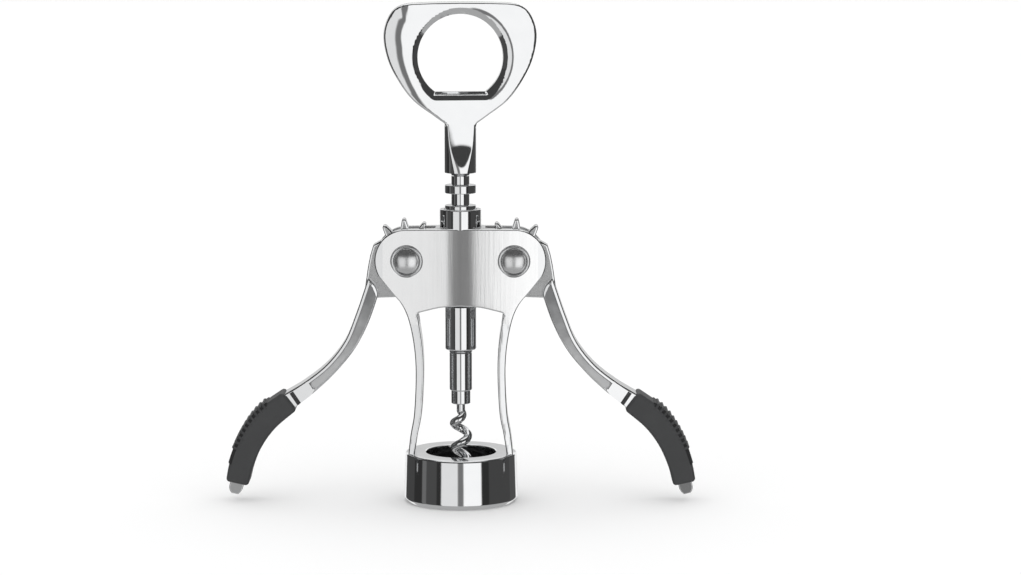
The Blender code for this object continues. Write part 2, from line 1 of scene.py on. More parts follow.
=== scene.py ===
# %% [markdown]
# # A lever corkscrew in Blender
# The corkscrew is a cast frame with two geared levers, a round rack that they drive, and a
# spindle inside the rack that carries the worm and the handle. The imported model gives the
# places of all of them. This script gives each one its finished shape and its finish.

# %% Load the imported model
import json
import math

import bmesh
import bpy
from mathutils import Matrix, Vector, geometry, kdtree


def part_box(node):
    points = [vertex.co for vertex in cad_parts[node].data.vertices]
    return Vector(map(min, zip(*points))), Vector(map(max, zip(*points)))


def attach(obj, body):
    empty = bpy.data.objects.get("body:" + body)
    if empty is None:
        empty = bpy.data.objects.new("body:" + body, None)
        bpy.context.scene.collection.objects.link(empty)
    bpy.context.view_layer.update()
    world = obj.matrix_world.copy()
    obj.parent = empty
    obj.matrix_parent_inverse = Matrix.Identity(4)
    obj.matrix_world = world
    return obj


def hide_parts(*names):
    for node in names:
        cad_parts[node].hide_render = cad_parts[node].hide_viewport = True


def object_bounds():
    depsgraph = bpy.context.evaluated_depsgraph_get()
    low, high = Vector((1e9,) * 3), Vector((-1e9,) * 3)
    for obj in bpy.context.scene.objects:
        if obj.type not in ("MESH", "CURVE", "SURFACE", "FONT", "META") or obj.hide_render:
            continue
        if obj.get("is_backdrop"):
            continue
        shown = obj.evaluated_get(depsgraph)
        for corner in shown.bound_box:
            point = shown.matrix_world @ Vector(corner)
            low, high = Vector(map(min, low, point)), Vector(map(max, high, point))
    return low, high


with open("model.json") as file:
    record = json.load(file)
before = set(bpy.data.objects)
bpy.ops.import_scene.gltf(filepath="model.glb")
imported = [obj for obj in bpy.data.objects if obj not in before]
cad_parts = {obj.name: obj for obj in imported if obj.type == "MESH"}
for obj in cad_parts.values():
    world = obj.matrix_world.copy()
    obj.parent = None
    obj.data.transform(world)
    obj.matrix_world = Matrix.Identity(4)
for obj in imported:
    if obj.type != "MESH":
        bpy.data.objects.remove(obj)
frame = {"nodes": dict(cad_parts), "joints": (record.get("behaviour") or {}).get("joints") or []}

cad_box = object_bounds()
FRONT, REAR = -1, 1
joints = {joint["name"]: joint for joint in frame["joints"]}
pivot = Vector(joints["right_lever_swing"]["pos_m"])
frame_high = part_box("frame")[1]
rack_low, rack_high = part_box("rack")
handle_low, handle_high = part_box("handle")
print(f"frame {frame_high.z:.4f} m tall, pivots {pivot.x * 2:.4f} m apart")

# %% [markdown]
# ## Drawing tools
# Most pieces of a casting or a turned part start as a line. As by hand, a line is drawn by
# extruding one vertex again and again, and a face, a prism or a turned shape grows out of it.
# Smooth stretches are worked out from a few points, so that an outline stays short to read.

# %% Outlines
def smooth(points, steps=4):
    """A Catmull-Rom line through points of any dimension."""
    knots = [Vector(point) for point in points]
    knots = [knots[0] * 2 - knots[1], *knots, knots[-1] * 2 - knots[-2]]
    line = []
    for before, start, end, after in zip(knots, knots[1:], knots[2:], knots[3:]):
        for step in range(steps):
            t = step / steps
            bend = (before * 2 - start * 5 + end * 4 - after) * t * t
            twist = (start * 3 - before - end * 3 + after) * t**3
            line.append((start * 2 + (end - before) * t + bend + twist) / 2)
    return line + [knots[-2]]


def arc(centre, radius, start, end, steps):
    """Points on an arc from one angle to another, in degrees."""
    x, z = centre
    angles = [math.radians(start + (end - start) * k / steps) for k in range(steps + 1)]
    return [Vector((x + radius * math.cos(a), z + radius * math.sin(a))) for a in angles]


def rounded(points, radii, steps=4):
    """A closed outline with its corners rounded; a radius of 0 leaves a corner sharp."""
    made = []
    count = len(points)
    for index, (corner, radius) in enumerate(zip(points, radii)):
        corner = Vector(corner)
        if not radius:
            made.append(corner)
            continue
        back = (Vector(points[index - 1]) - corner).normalized()
        onward = (Vector(points[(index + 1) % count]) - corner).normalized()
        start, end = corner + back * radius, corner + onward * radius
        for step in range(steps + 1):
            t = step / steps
            made.append(start * (1 - t) ** 2 + corner * 2 * t * (1 - t) + end * t * t)
    return made


def left_of(along):
    """The direction a quarter turn to the left of another."""
    return Vector((-along[1], along[0]))


def band(line, steps=6):
    """The outline of a band round a middle line whose points hold x, z and half width."""
    points = smooth(line, steps)
    one, other = [], []
    for index, point in enumerate(points):
        before = points[max(index - 1, 0)]
        after = points[min(index + 1, len(points) - 1)]
        along = Vector((after[0] - before[0], after[1] - before[1])).normalized()
        across = left_of(along) * point[2]
        one.append(point.xy + across)
        other.append(point.xy - across)
    return one + other[::-1]


def mirrored(points):
    """A right-hand outline with its left half, both from the middle line."""
    return list(points) + [Vector((-p[0], p[1])) for p in reversed(points) if p[0] > 1e-6]


# %% Edit-mode steps
def pick(piece):
    """Makes one piece the only selected one and the active one."""
    if bpy.context.mode != "OBJECT":
        bpy.ops.object.mode_set(mode="OBJECT")
    bpy.ops.object.select_all(action="DESELECT")
    piece.select_set(True)
    bpy.context.view_layer.objects.active = piece


def edit(piece):
    """Puts one piece, and nothing else, in edit mode."""
    pick(piece)
    bpy.ops.object.mode_set(mode="EDIT")


def leave_edit():
    bpy.ops.object.mode_set(mode="OBJECT")


def call(piece, name):
    """Names a piece and its mesh."""
    piece.name = piece.data.name = name
    return piece


def draw(name, points):
    """A piece that is one line, drawn by extruding a single vertex from point to point."""
    bpy.ops.mesh.primitive_plane_add(size=0.001, location=points[0])
    piece = call(bpy.context.object, name)
    bpy.ops.object.transform_apply(location=True)
    bpy.ops.object.mode_set(mode="EDIT")
    bpy.ops.mesh.merge(type="CENTER")
    for before, point in zip(points, points[1:]):
        bpy.ops.mesh.extrude_region_move(TRANSFORM_OT_translate={"value": point - before})
    leave_edit()
    return piece


def close_line(piece):
    """Joins the two ends of a drawn line."""
    edit(piece)
    bpy.ops.mesh.select_all(action="DESELECT")
    mesh = bmesh.from_edit_mesh(piece.data)
    for vert in mesh.verts:
        vert.select = len(vert.link_edges) == 1
    bpy.ops.mesh.edge_face_add()


def choose(piece, kind, test):
    """Selects the faces or edges of the piece in edit mode that pass a test, and nothing else."""
    bpy.ops.mesh.select_all(action="DESELECT")
    for item in getattr(bmesh.from_edit_mesh(piece.data), kind):
        if test(item):
            item.select_set(True)
    bmesh.update_edit_mesh(piece.data)


def tidy_normals():
    """Welds the doubles of the mesh in edit mode and turns its faces outwards."""
    bpy.ops.mesh.select_all(action="SELECT")
    bpy.ops.mesh.remove_doubles(threshold=2e-6)
    bpy.ops.mesh.normals_make_consistent(inside=False)


def solid(name, points, sweep):
    """A solid: a closed line of points filled with a face, which is extruded."""
    piece = draw(name, points)
    close_line(piece)
    bpy.ops.mesh.select_all(action="SELECT")
    bpy.ops.mesh.edge_face_add()
    bpy.ops.mesh.extrude_region_move(TRANSFORM_OT_translate={"value": sweep})
    tidy_normals()
    leave_edit()
    return piece


def prism(name, outline, low, high):
    """A plate: an outline of (x, z) points extruded along Y."""
    return solid(name, [Vector((p[0], low, p[1])) for p in outline], (0, high - low, 0))


def turned(name, profile, steps=96, closed=True):
    """A turned piece: a profile of (radius, height) points spun once round Z."""
    piece = draw(name, [Vector((p[0], 0, p[1])) for p in profile])
    if closed:
        close_line(piece)
    else:
        edit(piece)
    bpy.ops.mesh.select_all(action="SELECT")
    bpy.ops.mesh.spin(steps=steps, angle=math.tau, center=(0, 0, 0), axis=(0, 0, 1))
    tidy_normals()
    leave_edit()
    return piece


def move(piece, shift=(0, 0, 0), turn=0.0, axis="Z"):
    """Turns a piece about the origin, then shifts it, in its mesh."""
    piece.data.transform(Matrix.Translation(shift) @ Matrix.Rotation(turn, 4, axis))
    return piece


def modify(piece, kind, **settings):
    """Adds a modifier with its settings and applies it at once."""
    pick(piece)
    modifier = piece.modifiers.new(kind.lower(), kind)
    for key, value in settings.items():
        setattr(modifier, key, value)
    bpy.ops.object.modifier_apply(modifier=modifier.name)


def round_edges(piece, width, segments=3, angle=40):
    """Rounds every edge sharper than an angle."""
    limit = math.radians(angle)
    modify(piece, "BEVEL", width=width, segments=segments, limit_method="ANGLE", angle_limit=limit)


def combine(piece, other, operation="DIFFERENCE"):
    """Cuts another piece out of this one, or joins the two; the other one is used up."""
    modify(piece, "BOOLEAN", object=other, operation=operation, solver="EXACT")
    bpy.data.objects.remove(other)


def settle(piece, body, slot, *nodes, angle=35):
    """Smooths a finished piece, keeps its flats flat, and gives it to the body it rides on."""
    pick(piece)
    bpy.ops.object.shade_smooth_by_angle(angle=math.radians(angle))
    modify(piece, "WEIGHTED_NORMAL", mode="FACE_AREA_WITH_ANGLE", weight=60, keep_sharp=True)
    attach(piece, body)
    if nodes:
        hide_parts(*nodes)
    print(f"{piece.name}: {len(piece.data.polygons)} faces on {body}")
    return piece


# %% [markdown]
# ## Finishes
# Shader maths reads best as arithmetic, so a small class wraps a node's output and adds a Math
# node for each sign. One method makes every other node. Chrome gets its life from small things:
# a faint waviness left by the casting, and roughness that is never quite even.

# %% Arithmetic on sockets
class Value:
    """A node's output that takes part in Python arithmetic."""

    def __init__(self, finish, socket):
        self.finish = finish
        self.socket = socket

    def maths(self, operation, first, second=0.0):
        return self.finish.node("Math", {"operation": operation}, {0: first, 1: second})

    def __add__(self, other):
        return self.maths("ADD", self, other)

    def __sub__(self, other):
        return self.maths("SUBTRACT", self, other)

    def __rsub__(self, other):
        return self.maths("SUBTRACT", other, self)

    def __mul__(self, other):
        return self.maths("MULTIPLY", self, other)

    __radd__ = __add__
    __rmul__ = __mul__


# %% A finish and its nodes
class Finish:
    """A material, or the world, whose nodes are added one call at a time."""

    def __init__(self, owner):
        owner.use_nodes = True
        self.owner = owner
        self.tree = owner.node_tree
        self.tree.nodes.clear()

    def node(self, kind, settings=None, inputs=None, output=0):
        made = self.tree.nodes.new("ShaderNode" + kind)
        for key, value in (settings or {}).items():
            if key == "stops":
                self.set_stops(made.color_ramp, value)
            else:
                setattr(made, key, value)
        for key, value in (inputs or {}).items():
            if isinstance(value, Value):
                self.tree.links.new(value.socket, made.inputs[key])
            else:
                made.inputs[key].default_value = value
        return Value(self, made.outputs[output] if made.outputs else None)

    def set_stops(self, ramp, stops):
        while len(ramp.elements) > 1:
            ramp.elements.remove(ramp.elements[-1])
        for index, (place, shade) in enumerate(stops):
            stop = ramp.elements[0] if index == 0 else ramp.elements.new(place)
            stop.position = place
            stop.color = (shade, shade, shade, 1)

    def noise(self, scale, detail=3.0, stretch=(1, 1, 1)):
        place = self.node("TexCoord", output="Object")
        scaled = self.node("Mapping", None, {"Vector": place, "Scale": stretch})
        return self.node("TexNoise", None, {"Vector": scaled, "Scale": scale, "Detail": detail})

    def height(self):
        """How high a point of the surface is."""
        place = self.node("TexCoord", output="Object")
        return self.node("SeparateXYZ", None, {"Vector": place}, "Z")

    def mix(self, share, one, other):
        """A colour between two others; the colour sockets of a Mix node are numbers 6, 7 and 2."""
        inputs = {0: share, 6: (*one, 1), 7: (*other, 1)}
        return self.node("Mix", {"data_type": "RGBA"}, inputs, 2)

    def bump(self, height, distance, strength=1.0):
        inputs = {"Height": height, "Distance": distance, "Strength": strength}
        return self.node("Bump", None, inputs)

    def surface(self, **sockets):
        inputs = {name.replace("_", " "): value for name, value in sockets.items()}
        shader = self.node("BsdfPrincipled", None, inputs)
        self.node("OutputMaterial", None, {"Surface": shader})
        return self.owner


def new_finish(name):
    return Finish(bpy.data.materials.new(name))


# %% [markdown]
# ### Polished chrome
# Chrome plate shows what is round it, so the studio does most of the work. The metal itself adds
# a slightly cool tint, a very slow unevenness in the surface, and faint polishing haze.

# %% Polished chrome
def polished_chrome():
    finish = new_finish("polished_chrome")
    haze = finish.noise(160, 4)
    waves = finish.noise(70, 2)
    tint = finish.mix(haze, (0.83, 0.84, 0.85), (0.9, 0.905, 0.91))
    return finish.surface(
        Base_Color=tint,
        Metallic=1.0,
        Roughness=0.03 + haze * 0.05,
        Normal=finish.bump(waves, 0.00012, 0.35),
    )


# %% [markdown]
# ### Satin chrome
# The head's two faces and the floors of the arms' channels are brushed before they are plated.
# The channels' floors also get painted light: their colour is lighter lower down.
# Long thin noise across the brushing makes the lines, in the roughness and in a shallow bump. The
# pins, the gears' webs and the raw spaces for the gears have the same finish without a direction.

# %% Satin chrome
# Below this height the channel floors' colour is painted lighter: painted light.
painted_light_height = 0.060


def satin_chrome(name, dark, light, low, spread, stretch=(1, 1, 1), painted_light_rate=0.0):
    """Satin chrome with a lowest roughness and its spread; the last argument paints light into its
    colour, lighter lower down towards the floor.
    """
    finish = new_finish(name)
    lines = finish.noise(900, 3, stretch)
    cloud = finish.noise(240, 5)
    speckle = finish.noise(2600, 2)
    # Painted light: the colour grows lighter the lower the surface stands.
    if painted_light_rate:
        cloud = cloud + (painted_light_height - finish.height()) * painted_light_rate
    tint = finish.mix(cloud, dark, light)
    return finish.surface(
        Base_Color=tint,
        Metallic=1.0,
        Roughness=low + lines * spread + speckle * 0.06,
        Normal=finish.bump(lines * 0.7 + speckle * 0.3, 0.00002, 0.5),
    )


# %% [markdown]
# ### Turned steel, nylon and soft-touch plastic
# The inner steel parts keep their turning marks, which are rings, so the noise is stretched flat.
# The nylon liner has a dull moulded skin. The soft-touch grips have a fine even grain, and they
# get a little lighter where the grain has been rubbed.

# %% Steel, nylon and soft touch
def grained(name, grain, dark, light, metallic, low):
    """A plain finish whose colour, roughness and height all follow one noise."""
    finish = new_finish(name)
    marks = finish.noise(*grain)
    return finish.surface(
        Base_Color=finish.mix(marks, dark, light),
        Metallic=metallic,
        Roughness=low + marks * 0.2,
        Normal=finish.bump(marks, 0.00003, 0.6),
    )


def soft_touch(name, dark, light):
    finish = new_finish(name)
    place = finish.node("TexCoord", output="Object")
    cells = finish.node("TexVoronoi", None, {"Vector": place, "Scale": 3200.0})
    cloud = finish.noise(120, 4)
    grain = finish.noise(2400, 2)
    tint = finish.mix(cloud * 0.6 + grain * 0.4, dark, light)
    return finish.surface(
        Base_Color=tint,
        Roughness=0.5 + grain * 0.16,
        Normal=finish.bump(cells * 0.5 + grain * 0.5, 0.00005, 0.55),
    )


chrome = polished_chrome()
brushed_face = satin_chrome(
    "satin_face", (0.95, 0.953, 0.956), (0.99, 0.992, 0.994), 0.05, 0.06, stretch=(1, 1, 0.04)
)
# The channel floors' colour is painted lighter lower down: painted light.
brushed_floor = satin_chrome(
    "satin_floor", (0.33, 0.335, 0.34), (0.74, 0.745, 0.75), 0.36, 0.1, stretch=(0.3, 0.3, 1), painted_light_rate=40
)
pin_metal = satin_chrome("satin_pin", (0.76, 0.765, 0.77), (0.88, 0.885, 0.89), 0.19, 0.07)
as_cast = satin_chrome("as_cast", (0.66, 0.665, 0.67), (0.78, 0.785, 0.79), 0.42, 0.12)
gear_face = satin_chrome("satin_gear", (0.6, 0.605, 0.61), (0.78, 0.785, 0.79), 0.2, 0.1)
rings, skin = (500, 3, (0.05, 0.05, 6)), (1800, 3)
steel = grained("plain_steel", rings, (0.42, 0.43, 0.44), (0.62, 0.63, 0.64), 1.0, 0.2)
nylon = grained("black_nylon", skin, (0.012, 0.012, 0.013), (0.022, 0.022, 0.023), 0.0, 0.38)
rubber = soft_touch("soft_touch_grey", (0.031, 0.032, 0.033), (0.052, 0.053, 0.055))
# Painted shade: a much darker copy of the soft-touch colour, for the sleeve between the grip's ribs.
painted_shade_rubber = soft_touch("soft_touch_grooves", (0.008, 0.008, 0.009), (0.014, 0.014, 0.015))
print(f"{len(bpy.data.materials)} materials")


def paint(piece, *finishes):
    piece.data.materials.clear()
    for finish in finishes:
        piece.data.materials.append(finish)
    return piece


def paint_where(piece, slot, test):
    """Gives a material slot to the faces whose middle and normal pass a test."""
    for face in piece.data.polygons:
        if test(face.center, face.normal):
            face.material_index = slot


# %% [markdown]
# ## The ring and the collar
# Both are turned shapes of the casting. Their corners are rounded in the profile itself, because
# a polished corner shows as a bright or a dark line, and its width is the first thing that the
# eye reads as size.

# %% Turn the ring
ring_radius = frame_high.y
ring_height = 0.0175
ring_top_radius = ring_radius - 0.0005
socket_radius = 0.0166
socket_depth = 0.0122
opening_radius = 0.0123
ring_profile = rounded(
    [
        (socket_radius, 0.0), (ring_radius - 0.0015, 0.0), (ring_radius, 0.0015),
        (ring_top_radius, ring_height), (opening_radius, ring_height),
        (opening_radius, socket_depth), (socket_radius, socket_depth),
    ],
    [0.0003, 0.0005, 0.0005, 0.0010, 0.0005, 0, 0],
    5,
)
settle(paint(turned("frame_ring", ring_profile, 160), chrome), "frame", "polished_chrome", "frame")

# %% Turn the collar
guide_radius = 0.0059
collar_radius = 0.0073
collar_low = frame_high.z - 0.0085
collar_profile = rounded(
    [
        (guide_radius, collar_low), (collar_radius, collar_low),
        (collar_radius, frame_high.z), (guide_radius, frame_high.z),
    ],
    [0, 0, 0.0005, 0.0003],
    5,
)
settle(paint(turned("frame_collar", collar_profile, 96), chrome), "frame", "polished_chrome", "frame")

# %% [markdown]
# ## The head and the legs
# They are one plate in the casting: the outline is drawn, extruded, and its edges are rounded
# while it is still flat. Then it is bisected into a fine grid, so that it can be bent: the face
# has a soft ridge down its middle, and the legs grow thin towards the waist. Booleans cut the
# spaces for the gears, the guide for the rack and the seats of the pins.

# %% Outline of the head and legs
head_top = 0.0968
lobe_radius = 0.0112
outer_leg = (
    (0.0241, 0.0748), (0.0204, 0.0703), (0.0180, 0.0646), (0.0163, 0.0557),
    (0.0157, 0.0457), (0.0163, 0.0321), (0.0176, 0.0242), (0.0183, 0.0180),
    (0.0184, 0.0149),
)
inner_leg = (
    (0.0161, 0.0149), (0.0160, 0.0180), (0.0150, 0.0246), (0.0136, 0.0321),
    (0.0129, 0.0457), (0.0133, 0.0557), (0.0147, 0.0654),
)


def head_outline():
    lobe = arc((pivot.x, pivot.z), lobe_radius, 84, -30, 32)
    top = smooth([(0.0, head_top + 0.0003), (0.0100, head_top + 0.0002), lobe[0]], 4)[:-1]
    leg = smooth([lobe[-1], *outer_leg], 5)
    inside = smooth(inner_leg, 5)
    corner = arc((0.0139, 0.0665), 0.0012, 0, 80, 6)
    crown = smooth([corner[-1], (0.0070, 0.0694), (0.0, 0.0699)], 3)
    return mirrored(top + lobe + leg[1:] + inside + corner + crown[1:])


# %% Depth of the casting
ridge_radius = 0.096
ridge_half_width = 0.0055
cheek_radius = 1.2
head_half_depth = 0.0073
cheek_x = 0.0130
side_line = smooth(
    (
        (0.0080, 0.0123), (0.0078, 0.0175), (0.0062, 0.0267), (0.0056, 0.0430),
        (0.0060, 0.0573), (0.0072, 0.0664), (0.0073, 0.0714), (0.0073, 0.0986),
    ),
    4,
)


def depth_at(line, z):
    """The half depth at a height, read from a line of (half depth, height) points."""
    for low, high in zip(line, line[1:]):
        if z <= high[1]:
            share = max(0.0, (z - low[1]) / (high[1] - low[1]))
            return low[0] + (high[0] - low[0]) * share
    return line[-1][0]


def face_drop(x):
    """How far the face has fallen back from its ridge at x."""
    near = min(abs(x), ridge_half_width)
    far = abs(x) - near
    ridge = near * near / (2 * ridge_radius) + near / ridge_radius * far
    return ridge + far * far / (2 * cheek_radius)


# %% Make the head
def slice_plate(piece, axis, low, high, step):
    """Bisects a piece by evenly spaced planes."""
    normal = Vector((0, 0, 0))
    normal[axis] = 1
    edit(piece)
    for k in range(int((high - low) / step) + 1):
        bpy.ops.mesh.select_all(action="SELECT")
        point = normal * (low + k * step)
        bpy.ops.mesh.bisect(plane_co=point, plane_no=normal)
    leave_edit()


def make_head():
    head = prism("frame_head", head_outline(), -head_half_depth, head_half_depth)
    round_edges(head, 0.0007, 5, 50)
    slice_plate(head, 0, -0.0290, 0.0290, 0.0010)
    slice_plate(head, 2, 0.0160, 0.0960, 0.0025)
    for vert in head.data.vertices:
        share = vert.co.y / head_half_depth
        depth = min(depth_at(side_line, vert.co.z) + face_drop(cheek_x), head_half_depth)
        vert.co.y = share * (depth - face_drop(vert.co.x))
    return head


head = make_head()
print(f"head plate: {len(head.data.vertices)} vertices before it is cut")

# %% Cut the gear spaces, the rack guide and the pin seats
gear_space_radius = 0.0151
slot_half_width = 0.0034


def gear_space(side):
    reach = 0.036
    floor = pivot.z - gear_space_radius - 0.0013
    outline = arc((pivot.x, pivot.z), gear_space_radius, 90, 270, 48)
    outline += [(pivot.x, floor), (reach, floor), (reach, pivot.z + gear_space_radius)]
    outline = [Vector((p[0] * side, p[1])) for p in outline]
    return prism("gear_space", outline, -slot_half_width, slot_half_width)


def rod(name, radius, low, high, steps=48):
    return turned(name, [(0, low), (radius, low), (radius, high), (0, high)], steps, closed=False)


seat_radius = 0.0057
seat_y = 0.0053
combine(head, gear_space(-1))
combine(head, gear_space(1))
combine(head, rod("rack_guide", guide_radius, 0.060, 0.110, 64))
for side in (-1, 1):
    for face in (FRONT, REAR):
        seat = rod("pin_seat", seat_radius, seat_y, seat_y + 0.006, 64)
        move(seat, turn=math.radians(90 * -face), axis="X")
        combine(head, move(seat, (side * pivot.x, 0, pivot.z)))
head_low = 0.0640


def on_head_face(middle, normal):
    return abs(normal.y) > 0.97 and middle.z > head_low and abs(middle.y) > seat_y + 0.0004


def in_gear_space(middle, normal):
    away = math.hypot(abs(middle.x) - pivot.x, middle.z - pivot.z)
    inside = abs(middle.y) < slot_half_width + 0.0001 and middle.z > head_low
    return inside and away < gear_space_radius + 0.008


paint(head, chrome, brushed_face, as_cast)
paint_where(head, 1, on_head_face)
paint_where(head, 2, in_gear_space)
settle(head, "frame", "polished_chrome", "frame", angle=30)

# %% [markdown]
# ## The socket's liner
# A moulded ring of black nylon lines the socket, so that the steel doesn't chip the bottle. It is
# a plain turned shape with softened corners, and its lip rests on the glass.

# %% Turn the liner
liner_low, liner_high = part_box("ring_liner")
liner_radius = liner_high.y
liner_wall = liner_radius - 0.0013
lip_radius = 0.0126
lip_under = liner_high.z - 0.0011
liner_profile = rounded(
    [
        (liner_wall, liner_low.z), (liner_radius, liner_low.z),
        (liner_radius, liner_high.z), (lip_radius, liner_high.z),
        (lip_radius, lip_under), (liner_wall, lip_under),
    ],
    [0.0003, 0.0003, 0.0003, 0.0004, 0.0004, 0],
    3,
)
settle(paint(turned("socket_liner", liner_profile, 128), nylon), "frame", "black_nylon", "ring_liner")

# %% [markdown]
# ## The pivot pins
# Each lever turns on a riveted pin. A shallow dome closes it at the front, a cap at the rear, and
# a thin polished washer sits round each dome. Each one is turned in its own place.

# %% Turn a pin, a cap and a washer
dome_radius = 0.0044
dome_base = seat_y + 0.0003
dome_rim = dome_base + 0.0009
soft_corner = 0.0003


def dome_profile():
    """A low dome from its top to its rim, over a short straight wall."""
    sphere = 0.0088
    rim = dome_radius - soft_corner
    rise = sphere - math.sqrt(sphere**2 - rim**2)
    widest = math.degrees(math.asin(rim / sphere))
    top = arc((0, dome_rim + rise - sphere), sphere, 90, 90 - widest, 12)
    return top + arc((rim, dome_rim - soft_corner), soft_corner, 60, 0, 3)


def pin(name, rear_end):
    shank = 0.0025
    end = [(dome_radius, dome_base), (shank, dome_base), (shank, rear_end), (0, rear_end)]
    return turned(name, dome_profile() + [Vector(p) for p in end], 64, closed=False)


def washer(name):
    inner, outer = dome_radius + 0.0002, 0.0054
    corners = [(inner, dome_base), (outer, dome_base), (outer, dome_rim), (inner, dome_rim)]
    return turned(name, rounded(corners, [0, 0, soft_corner, soft_corner], 3), 64)


# The shank belongs to the front end, and the rear end is a short cap over it.
pin_ends = (
    (FRONT, "front", "pin_head", "pivot_pin", -seat_y),
    (REAR, "rear", "pin_cap", "pivot_cap", dome_base - 0.0001),
)


for side, word in ((-1, "left"), (1, "right")):
    for face, end, piece_name, node, shank_end in pin_ends:
        turn = math.radians(90 * -face)
        place = (side * pivot.x, 0, pivot.z)
        made = move(pin(f"{word}_{piece_name}", shank_end), place, turn, "X")
        settle(paint(made, pin_metal), "frame", "polished_chrome", f"{word}_{node}")
        made = move(washer(f"{word}_{end}_pin_washer"), place, turn, "X")
        settle(paint(made, chrome), "frame", "polished_chrome", f"{word}_{end}_washer")

# %% [markdown]
# ## The rack
# The rack is a steel bar turned with grooves that go right round it, so the gear teeth find them
# whichever way it faces. Its corners are only just broken, which gives each ring a thin light line.

# %% Turn the rack
rack_radius = rack_high.y
rack_root = 0.0032
rack_pitch = 0.0071
groove = 0.0042
top_groove = rack_high.z - 0.0010
corner_break = 0.0003
bore_radius = 0.0023


def rack_profile():
    corners = [(bore_radius, rack_low.z), (rack_radius, rack_low.z)]
    radii = [0, 0.0006]
    for index in reversed(range(7)):
        middle = top_groove - index * rack_pitch
        low, high = middle - groove / 2, middle + groove / 2
        corners += [(rack_radius, low), (rack_root, low)]
        radii += [corner_break, corner_break]
        if index:
            corners += [(rack_root, high), (rack_radius, high)]
            radii += [corner_break, corner_break]
    corners += [(rack_root, rack_high.z), (bore_radius, rack_high.z)]
    return rounded(corners, radii + [0, 0], 3)


settle(paint(turned("round_rack", rack_profile(), 96), chrome), "rack", "polished_chrome", "rack")

# %% [markdown]
# ## The spindle below the handle
# The handle's rod runs down inside the rack and is pinned in a ferrule, and the worm's wire is
# fixed in the ferrule's nose. Thrust washers at both ends of the rack let it turn. The rod keeps
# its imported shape, because almost nothing of it can be seen.

# %% Turn the ferrule and the thrust washers
ferrule_low, ferrule_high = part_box("worm_ferrule")
ferrule_radius = ferrule_high.x
ferrule_step = ferrule_low.z + 0.0048
nose_radius = 0.0034
ferrule_profile = rounded(
    [
        (0.0018, ferrule_low.z), (nose_radius, ferrule_low.z),
        (nose_radius, ferrule_step), (ferrule_radius, ferrule_step),
        (ferrule_radius, ferrule_high.z), (bore_radius, ferrule_high.z),
    ],
    [0, 0.0004, 0.0002, 0.0005, 0.0003, 0],
    4,
)
ferrule = paint(turned("ferrule", ferrule_profile, 96), chrome)
settle(ferrule, "spindle", "polished_chrome", "worm_ferrule")
for place in ("upper", "lower"):
    node = f"{place}_thrust_washer"
    low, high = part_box(node)
    corners = [(bore_radius, low.z), (high.x, low.z), (high.x, high.z), (bore_radius, high.z)]
    disc = turned(f"{place}_washer", rounded(corners, [0, 0.0001, 0.0001, 0], 2), 64)
    settle(paint(disc, steel), "spindle", "plain_steel", node)
paint(frame["nodes"]["core_rod"], steel)

# %% [markdown]
# ## The worm
# A worm is one wire wound into a right-hand screw and ground to a point. A circle is extruded
# along the path in small steps: each step moves it, turns it to face along the wire and, near
# the point, makes it smaller. A helix from one formula keeps the pitch even.

# %% Wind the worm
worm_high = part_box("worm")[1]
wire_radius = 0.0015
winding_radius = 0.0025
worm_pitch = 0.0088
worm_top = 0.0318
worm_tip = 0.0030
straight_end = worm_top + 0.0035


def worm_path(steps_per_turn=28):
    """Places along the wire with the wire's radius at each: the shank, then the turns."""
    turns = (worm_top - worm_tip) / worm_pitch
    path = [(Vector((0, 0, height)), wire_radius) for height in (worm_high.z, straight_end)]
    steps = int(turns * steps_per_turn)
    for k in range(steps + 1):
        share = k / steps
        angle = -math.tau * turns * share
        spread = winding_radius * min(1.0, share * turns * 2.5)
        thin = min(1.0, 0.1 + (1 - share) * turns * 1.1)
        height = worm_top - (worm_top - worm_tip) * share
        place = Vector((spread * math.cos(angle), spread * math.sin(angle), height))
        path.append((place, wire_radius * thin))
    return path


def extrude_wire(name, path, sides=20):
    """Extrudes a circle along a path, turning and scaling it as it goes."""
    start, radius = path[0]
    facing = (path[1][0] - start).normalized()
    turn = Vector((0, 0, 1)).rotation_difference(facing).to_euler()
    bpy.ops.mesh.primitive_circle_add(
        vertices=sides, radius=radius, fill_type="NGON", location=start, rotation=turn
    )
    piece = call(bpy.context.object, name)
    bpy.ops.object.transform_apply(location=True, rotation=True)
    bpy.ops.object.mode_set(mode="EDIT")
    for index in range(1, len(path)):
        place, size = path[index]
        before = path[index - 1][0]
        after = path[min(index + 1, len(path) - 1)][0]
        along = (after - before).normalized()
        bpy.ops.mesh.extrude_region_move(TRANSFORM_OT_translate={"value": place - before})
        mesh = bmesh.from_edit_mesh(piece.data)
        chosen = [vert for vert in mesh.verts if vert.select]
        turn = facing.rotation_difference(along).to_matrix()
        bmesh.ops.rotate(mesh, verts=chosen, cent=place, matrix=turn)
        bmesh.update_edit_mesh(piece.data)
        factor = size / radius
        bpy.ops.transform.resize(value=(factor, factor, factor), center_override=place)
        facing, radius = along, size
    tidy_normals()
    leave_edit()
    return piece


worm = paint(extrude_wire("worm_screw", worm_path()), chrome)
settle(worm, "spindle", "polished_chrome", "worm", angle=60)

# %% [markdown]
# ## The handle
# The handle is a flat plate on a round neck. The neck is turned, sliced into rings and pressed
# in at the front and the rear, and these two long flats run out into the plate's faces, which is
# what draws the bullet shape low on the neck. The hole's lower lip is flat, to hook under a cap.

